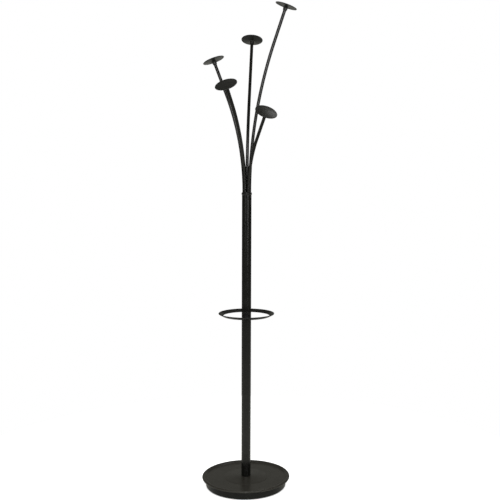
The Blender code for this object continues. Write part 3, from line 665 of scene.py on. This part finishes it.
def make_arms():
    """Bent rods from the rod tree, each with its peg, on the arm's own body."""
    tree = make_bent_rod_tree()
    for name, turn, bend_radius, bend_angle, straight in ARMS:
        body = f"arm_{name}"
        place = arm_frame(name, turn)
        blank = bpy.data.objects.new("rod_blank", bpy.data.meshes.new("rod_blank"))
        bpy.context.scene.collection.objects.link(blank)
        rod = run_tree(blank, tree, f"{name}_bent_rod", Bend_Radius=bend_radius,
                       Bend_Angle=math.radians(bend_angle), Straight=straight + ROD_END_IN_NECK,
                       Material=FINISHES["rod_paint"])
        rod.data.transform(place)
        settle(rod, "rod_paint", body, f"{name}_arm")
        peg = turned(f"{name}_disc_peg", peg_profile(), PEG_SIDES)
        peg.data.transform(place @ peg_frame(bend_radius, bend_angle, straight))
        settle(peg, "peg_plastic", body, f"{name}_peg")


# ---------------------------------------------------------------- pole

def make_tube(name, node):
    """Steel tube with its cut ends broken, at the height of its CAD node."""
    low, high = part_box(node)
    inner = TUBE_RADIUS - TUBE_WALL
    profile = rounded([
        (inner, high.z, 0.0), (TUBE_RADIUS, high.z, TUBE_EDGE),
        (TUBE_RADIUS, low.z, TUBE_EDGE), (inner, low.z, 0.0)], steps=4)
    settle(turned(name, profile, TUBE_SIDES, closed=True), "tube_paint", "stand", node)


def make_collar():
    """Moulded cap with a soft bead; the rods stand on its flat top."""
    low = COLLAR_TOP - COLLAR_BEAD_HEIGHT
    plug = TUBE_RADIUS - TUBE_WALL - FIT_GAP
    profile = rounded([
        (0.0, COLLAR_TOP, 0.0), (COLLAR_FLAT_RADIUS, COLLAR_TOP, 0.8 * MM),
        (BEAD_RADIUS, COLLAR_TOP - COLLAR_BEAD_BELLY, 2.2 * MM),
        (BEAD_RADIUS, COLLAR_TOP - COLLAR_BEAD_BELLY_END, 1.2 * MM),
        (TUBE_RADIUS, low, 0.3 * MM), (plug, low, 0.0)], steps=8)
    profile += [(plug, collar_low.z), (0.0, collar_low.z)]
    settle(turned("collar_cap", profile, TUBE_SIDES), "collar_plastic", "stand", "arm_collar")


# ---------------------------------------------------------------- umbrella ring

def band_profile():
    """Section of the sloped band, with both edges fully rounded."""
    along = Vector((math.cos(RING_SLOPE), math.sin(RING_SLOPE)))
    across = Vector((-along.y, along.x))
    half_band = (RING_BAND - RING_THICKNESS) / 2
    middle = Vector((RING_RADIUS, RING_HEIGHT))
    profile = []
    for end, start in ((1, 90), (-1, -90)):
        centre = middle + along * end * half_band
        for x, z in arc(0.0, 0.0, RING_THICKNESS / 2, start, start - 180, 10):
            profile.append(tuple(centre + along * x + across * z))
    return profile


def make_spoke(degrees):
    """Flat spoke from the hub to the band, flared where it meets the band."""
    half_width = SPOKE_WIDTH / 2
    reach = RING_RADIUS - RING_BAND / 4
    flare = arc(reach - SPOKE_FILLET, half_width + SPOKE_FILLET, SPOKE_FILLET, -90, 0, 12)
    half = [(0.0, half_width)] + flare
    shape = bmesh.new()
    corners = [shape.verts.new((x, y, 0.0)) for x, y in half + [(x, -y) for x, y in reversed(half)]]
    face = shape.faces.new(corners)
    raised = bmesh.ops.extrude_face_region(shape, geom=[face])["geom"]
    top = [item for item in raised if isinstance(item, bmesh.types.BMVert)]
    bmesh.ops.translate(shape, verts=top, vec=(0, 0, SPOKE_THICKNESS))
    bmesh.ops.recalc_face_normals(shape, faces=shape.faces)
    level = RING_HEIGHT - math.sin(RING_SLOPE) * RING_BAND / 4 - SPOKE_THICKNESS / 2
    bmesh.ops.transform(shape, matrix=Matrix.Translation((0, 0, level)), verts=shape.verts)
    bmesh.ops.transform(shape, matrix=Matrix.Rotation(math.radians(degrees), 4, 'Z'),
                        verts=shape.verts)
    return to_object("spoke", shape)


def make_umbrella_ring():
    """Band, two spokes and hub joined into one moulding, bored for the tube stud."""
    ring = turned("umbrella_ring_moulding", band_profile(), RING_SIDES, closed=True)
    for degrees in (-90, 90):
        boolean(ring, make_spoke(degrees), 'UNION')
    bore = HUB_BORE_RADIUS
    hub = turned("hub", rounded([
        (bore, ring_high.z, 0.0), (TUBE_RADIUS, ring_high.z, HUB_EDGE),
        (TUBE_RADIUS, ring_low.z, HUB_EDGE), (bore, ring_low.z, 0.0)], steps=4),
                 TUBE_SIDES, closed=True)
    core = turned("core", [
        (0.0, ring_high.z + MM), (bore + MM, ring_high.z + MM),
        (bore + MM, ring_low.z - MM), (0.0, ring_low.z - MM)], BORE_SIDES)
    boolean(ring, core, 'DIFFERENCE')
    boolean(ring, hub, 'UNION')
    ring.data.shade_smooth()
    ring.data.set_sharp_from_angle(angle=math.radians(30))
    settle(ring, "ring_plastic", "stand", "umbrella_ring")


# ---------------------------------------------------------------- base

def make_tray():
    """Drip tray: rolled lip, flat floor and a shallow cone up to the pole."""
    inner = BASE_RADIUS - LIP_WIDTH
    rib = SKIRT_RADIUS - SHELL_WALL - FIT_GAP
    rib_bottom = LIP_UNDERSIDE - RIB_DEPTH
    under = TRAY_FLOOR - SHELL_WALL
    profile = rounded([
        (TRAY_HOLE_RADIUS, TRAY_CENTRE, 0.0),
        (CONE_RADIUS, TRAY_FLOOR + CONE_STEP, CONE_STEP_ROUND),
        (CONE_RADIUS + CONE_STEP, TRAY_FLOOR, CONE_STEP_ROUND),
        (inner - 1 * MM, TRAY_FLOOR, 5 * MM),
        (inner + LIP_SHOULDER_RUN, LIP_TOP - LIP_SHOULDER_DROP, 6 * MM),
        (BASE_RADIUS, LIP_TOP, LIP_ROUND),
        (BASE_RADIUS, LIP_UNDERSIDE, LIP_ROUND),
        (rib, LIP_UNDERSIDE, 0.0),
        (rib, rib_bottom, RIB_ROUND),
        (rib - SHELL_WALL, rib_bottom, RIB_ROUND),
        (rib - SHELL_WALL, under, 0.0),
        (CONE_RADIUS, under, 0.0),
        (TRAY_HOLE_RADIUS, TRAY_CENTRE - SHELL_WALL, 0.0)], steps=8)
    settle(turned("drip_tray_moulding", profile, BASE_SIDES, closed=True, sharp_degrees=50),
           "tray_plastic", "stand", "drip_tray")


def make_skirt():
    """Upright wall under the lip, turned in along its lower edge."""
    inner = SKIRT_RADIUS - SHELL_WALL
    profile = rounded([
        (inner, skirt_high.z, 0.0), (SKIRT_RADIUS, skirt_high.z, 0.3 * MM),
        (SKIRT_RADIUS, skirt_low.z, 1.8 * MM), (inner - SKIRT_EDGE, skirt_low.z, 0.4 * MM),
        (inner - SKIRT_EDGE, skirt_low.z + SKIRT_EDGE, 0.0),
        (inner, skirt_low.z + 2 * SKIRT_EDGE, 0.0)], steps=8)
    settle(turned("skirt_moulding", profile, BASE_SIDES, closed=True),
           "skirt_plastic", "stand", "base_skirt")


def circle_of(piece, name, slot, nodes):
    """Put one piece, made on the Z axis, at the place of each CAD node it stands for."""
    first_low, first_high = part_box(nodes[0])
    middle = (first_low + first_high) / 2
    result = run_tree(piece, CIRCLE_TREE, name, Count=len(nodes),
                      Circle_Radius=math.hypot(middle.x, middle.y),
                      First_Angle=math.atan2(middle.y, middle.x), Material=FINISHES[slot])
    settle(result, slot, "stand", *nodes)


def make_feet():
    """Rubber buttons with a rounded edge and a shallow suction dish."""
    radius = (foot_high.x - foot_low.x) / 2
    profile = rounded([
        (0.0, foot_high.z, 0.0), (FOOT_STEM_RADIUS, foot_high.z, 0.8 * MM),
        (FOOT_STEM_RADIUS, UNDER_SKIRT, 0.3 * MM), (radius, UNDER_SKIRT, 0.5 * MM),
        (radius, 0.0, 1.0 * MM), (radius - FOOT_DISH_RIM, 0.0, 0.3 * MM),
        (0.0, FOOT_DISH_DEPTH, 0.0)], steps=5)
    nodes = [f"rubber_foot_{number}" for number in range(1, FOOT_COUNT + 1)]
    circle_of(turned("foot", profile, FOOT_SIDES), "rubber_feet", "rubber", nodes)


def make_base_screws():
    """Pan-head screws with a cross recess."""
    shank = SCREW_SHANK_RADIUS
    head = (screw_high.x - screw_low.x) / 2
    profile = rounded([
        (0.0, screw_high.z, 0.0), (shank - SCREW_POINT_TAPER, screw_high.z, 0.2 * MM),
        (shank, screw_high.z - SCREW_POINT_LENGTH, 0.3 * MM), (shank, UNDER_SKIRT, 0.2 * MM),
        (head, UNDER_SKIRT, 0.3 * MM), (head, screw_low.z, 1.2 * MM),
        (0.0, screw_low.z, 0.0)], steps=5)
    screw = turned("screw", profile, SCREW_SIDES)
    for turn in (0, 90):
        slot = bmesh.new()
        bmesh.ops.create_cube(slot, size=1.0)
        bmesh.ops.scale(slot, vec=CROSS_RECESS, verts=slot.verts)
        bmesh.ops.transform(slot, matrix=Matrix.Rotation(math.radians(turn), 4, 'Z'),
                            verts=slot.verts)
        bmesh.ops.translate(slot, vec=(0, 0, screw_low.z), verts=slot.verts)
        boolean(screw, to_object("slot", slot), 'DIFFERENCE')
    nodes = [f"base_screw_{number}" for number in range(1, SCREW_COUNT + 1)]
    circle_of(screw, "base_screws", "zinc_steel", nodes)


def make_bolt_plug():
    """Flanged rubber plug that closes the bolt's pocket."""
    flange = plug_high.x
    profile = rounded([
        (0.0, plug_high.z, 0.0), (PLUG_BODY_RADIUS, plug_high.z, 1.0 * MM),
        (PLUG_BODY_RADIUS, UNDER_SKIRT, 0.3 * MM), (flange, UNDER_SKIRT, 0.6 * MM),
        (flange, 0.0, 1.0 * MM), (0.0, 0.0, 0.0)], steps=6)
    settle(turned("bolt_plug_moulding", profile, PLUG_SIDES), "rubber", "stand",
           "bolt_cover_plug")


# ---------------------------------------------------------------- studio

def make_floor():
    """Plain white floor disc with painted light: it glows outside the base's footprint and so
    paints out the base's cast shadow, and the glow fades out just inside the skirt's edge,
    which leaves a painted shadow in the narrow gap below the skirt."""
    shape = bmesh.new()
    bmesh.ops.create_circle(shape, cap_ends=True, segments=FLOOR_SIDES, radius=FLOOR_RADIUS)
    floor = to_object("studio_floor", shape)
    material, tree, shader = start_material("pale_studio_floor", 0.45)
    shader.inputs["Base Color"].default_value = linear("f6f6f6")
    shader.inputs["Emission Color"].default_value = linear("ffffff")
    # painted light: emission that rises from nothing just inside the skirt's edge to the full glow at the edge, so
    # the floor around the base shows no cast shadow and only the gap below the skirt stays dark as a painted
    # shadow
    position = add_node(tree, "ShaderNodeTexCoord").outputs["Object"]
    radius = add_node(tree, "ShaderNodeVectorMath", [(0, position)], operation='LENGTH')
    glow = add_node(tree, "ShaderNodeMapRange", [("Value", radius.outputs["Value"])],
                    [("From Min", SKIRT_RADIUS - FLOOR_SHADE_REACH), ("From Max", SKIRT_RADIUS),
                     ("To Min", 0.0), ("To Max", FLOOR_PAINTED_GLOW)])
    tree.links.new(glow.outputs["Result"], shader.inputs["Emission Strength"])
    floor.data.materials.append(material)
    floor.visible_glossy = False


def make_softbox(name, azimuth, distance, height, width, tall, radiance, aim_height, reflected):
    """Area light aimed at the pole; azimuth 0 is the camera's side, + is to its right."""
    light = bpy.data.lights.new(name, 'AREA')
    light.shape = 'RECTANGLE'
    light.size = width
    light.size_y = tall
    light.energy = radiance * math.pi * width * tall
    holder = bpy.data.objects.new(name, light)
    bpy.context.scene.collection.objects.link(holder)
    turn = math.radians(azimuth)
    place = Vector((math.sin(turn) * distance, -math.cos(turn) * distance, height))
    holder.location = place
    away = place - Vector((0.0, 0.0, aim_height))
    holder.rotation_euler = away.to_track_quat('Z', 'Y').to_euler()
    holder.visible_camera = False
    holder.visible_glossy = reflected


def make_world():
    """White sweep behind the object. What the object reflects is a dim room instead: dark
    at eye level and lighter above and below, so its black finishes keep dark edges."""
    world = bpy.data.worlds.new("studio_room")
    bpy.context.scene.world = world
    world.use_nodes = True
    tree = world.node_tree
    tree.nodes.clear()
    sweep = add_node(tree, "ShaderNodeBackground",
                     values=[("Color", (1, 1, 1, 1)), ("Strength", 1.0)])
    direction = add_node(tree, "ShaderNodeTexCoord").outputs["Generated"]
    upward = add_node(tree, "ShaderNodeSeparateXYZ", [("Vector", direction)]).outputs["Z"]
    height = add_node(tree, "ShaderNodeMapRange", [("Value", upward)],
                      [("From Min", -1.0), ("From Max", 1.0)])
    ramp = add_node(tree, "ShaderNodeValToRGB", [("Fac", height.outputs["Result"])])
    stops = ramp.color_ramp.elements
    stops.remove(stops[1])
    tint = linear(ROOM_TINT)
    for up, level in ROOM_LEVELS:
        stop = stops[0] if up == -1.0 else stops.new((up + 1) / 2)
        stop.color = (level * tint[0], level * tint[1], level * tint[2], 1.0)
    room = add_node(tree, "ShaderNodeBackground", [("Color", ramp.outputs["Color"])])
    path = add_node(tree, "ShaderNodeLightPath")
    mix = add_node(tree, "ShaderNodeMixShader",
                   [(0, path.outputs["Is Camera Ray"]), (1, room.outputs[0]), (2, sweep.outputs[0])])
    add_node(tree, "ShaderNodeOutputWorld", [("Surface", mix.outputs[0])])


def make_camera():
    """Chest-high camera a little over three metres off, tipped a little down."""
    camera = bpy.data.cameras.new("camera")
    camera.sensor_width = CAMERA_SENSOR
    camera.lens = CAMERA_SENSOR * CAMERA_FOCAL_SHARE
    camera.shift_x = CAMERA_SHIFT_X
    camera.clip_start = CAMERA_CLIP_START
    holder = bpy.data.objects.new("camera", camera)
    bpy.context.scene.collection.objects.link(holder)
    holder.location = (0.0, -CAMERA_DISTANCE, CAMERA_HEIGHT)
    tip = Matrix.Rotation(math.radians(90 - CAMERA_TIP), 4, 'X')
    turn = Matrix.Rotation(math.radians(-CAMERA_TURN), 4, 'Z')
    roll = Matrix.Rotation(math.radians(CAMERA_ROLL), 4, 'Z')
    holder.rotation_euler = (turn @ tip @ roll).to_euler()
    bpy.context.scene.camera = holder


# ---------------------------------------------------------------- the whole scene

CIRCLE_TREE = make_circle_tree()

bpy.context.scene.view_settings.view_transform = "Standard"

make_camera()
make_world()
make_floor()
for softbox in SOFTBOXES:
    make_softbox(*softbox)
finish_cad_nodes()
make_arms()
make_tube("lower_pole_tube", "lower_tube")
make_tube("upper_pole_tube", "upper_tube")
make_collar()
make_umbrella_ring()
make_tray()
make_skirt()
make_feet()
make_base_screws()
make_bolt_plug()
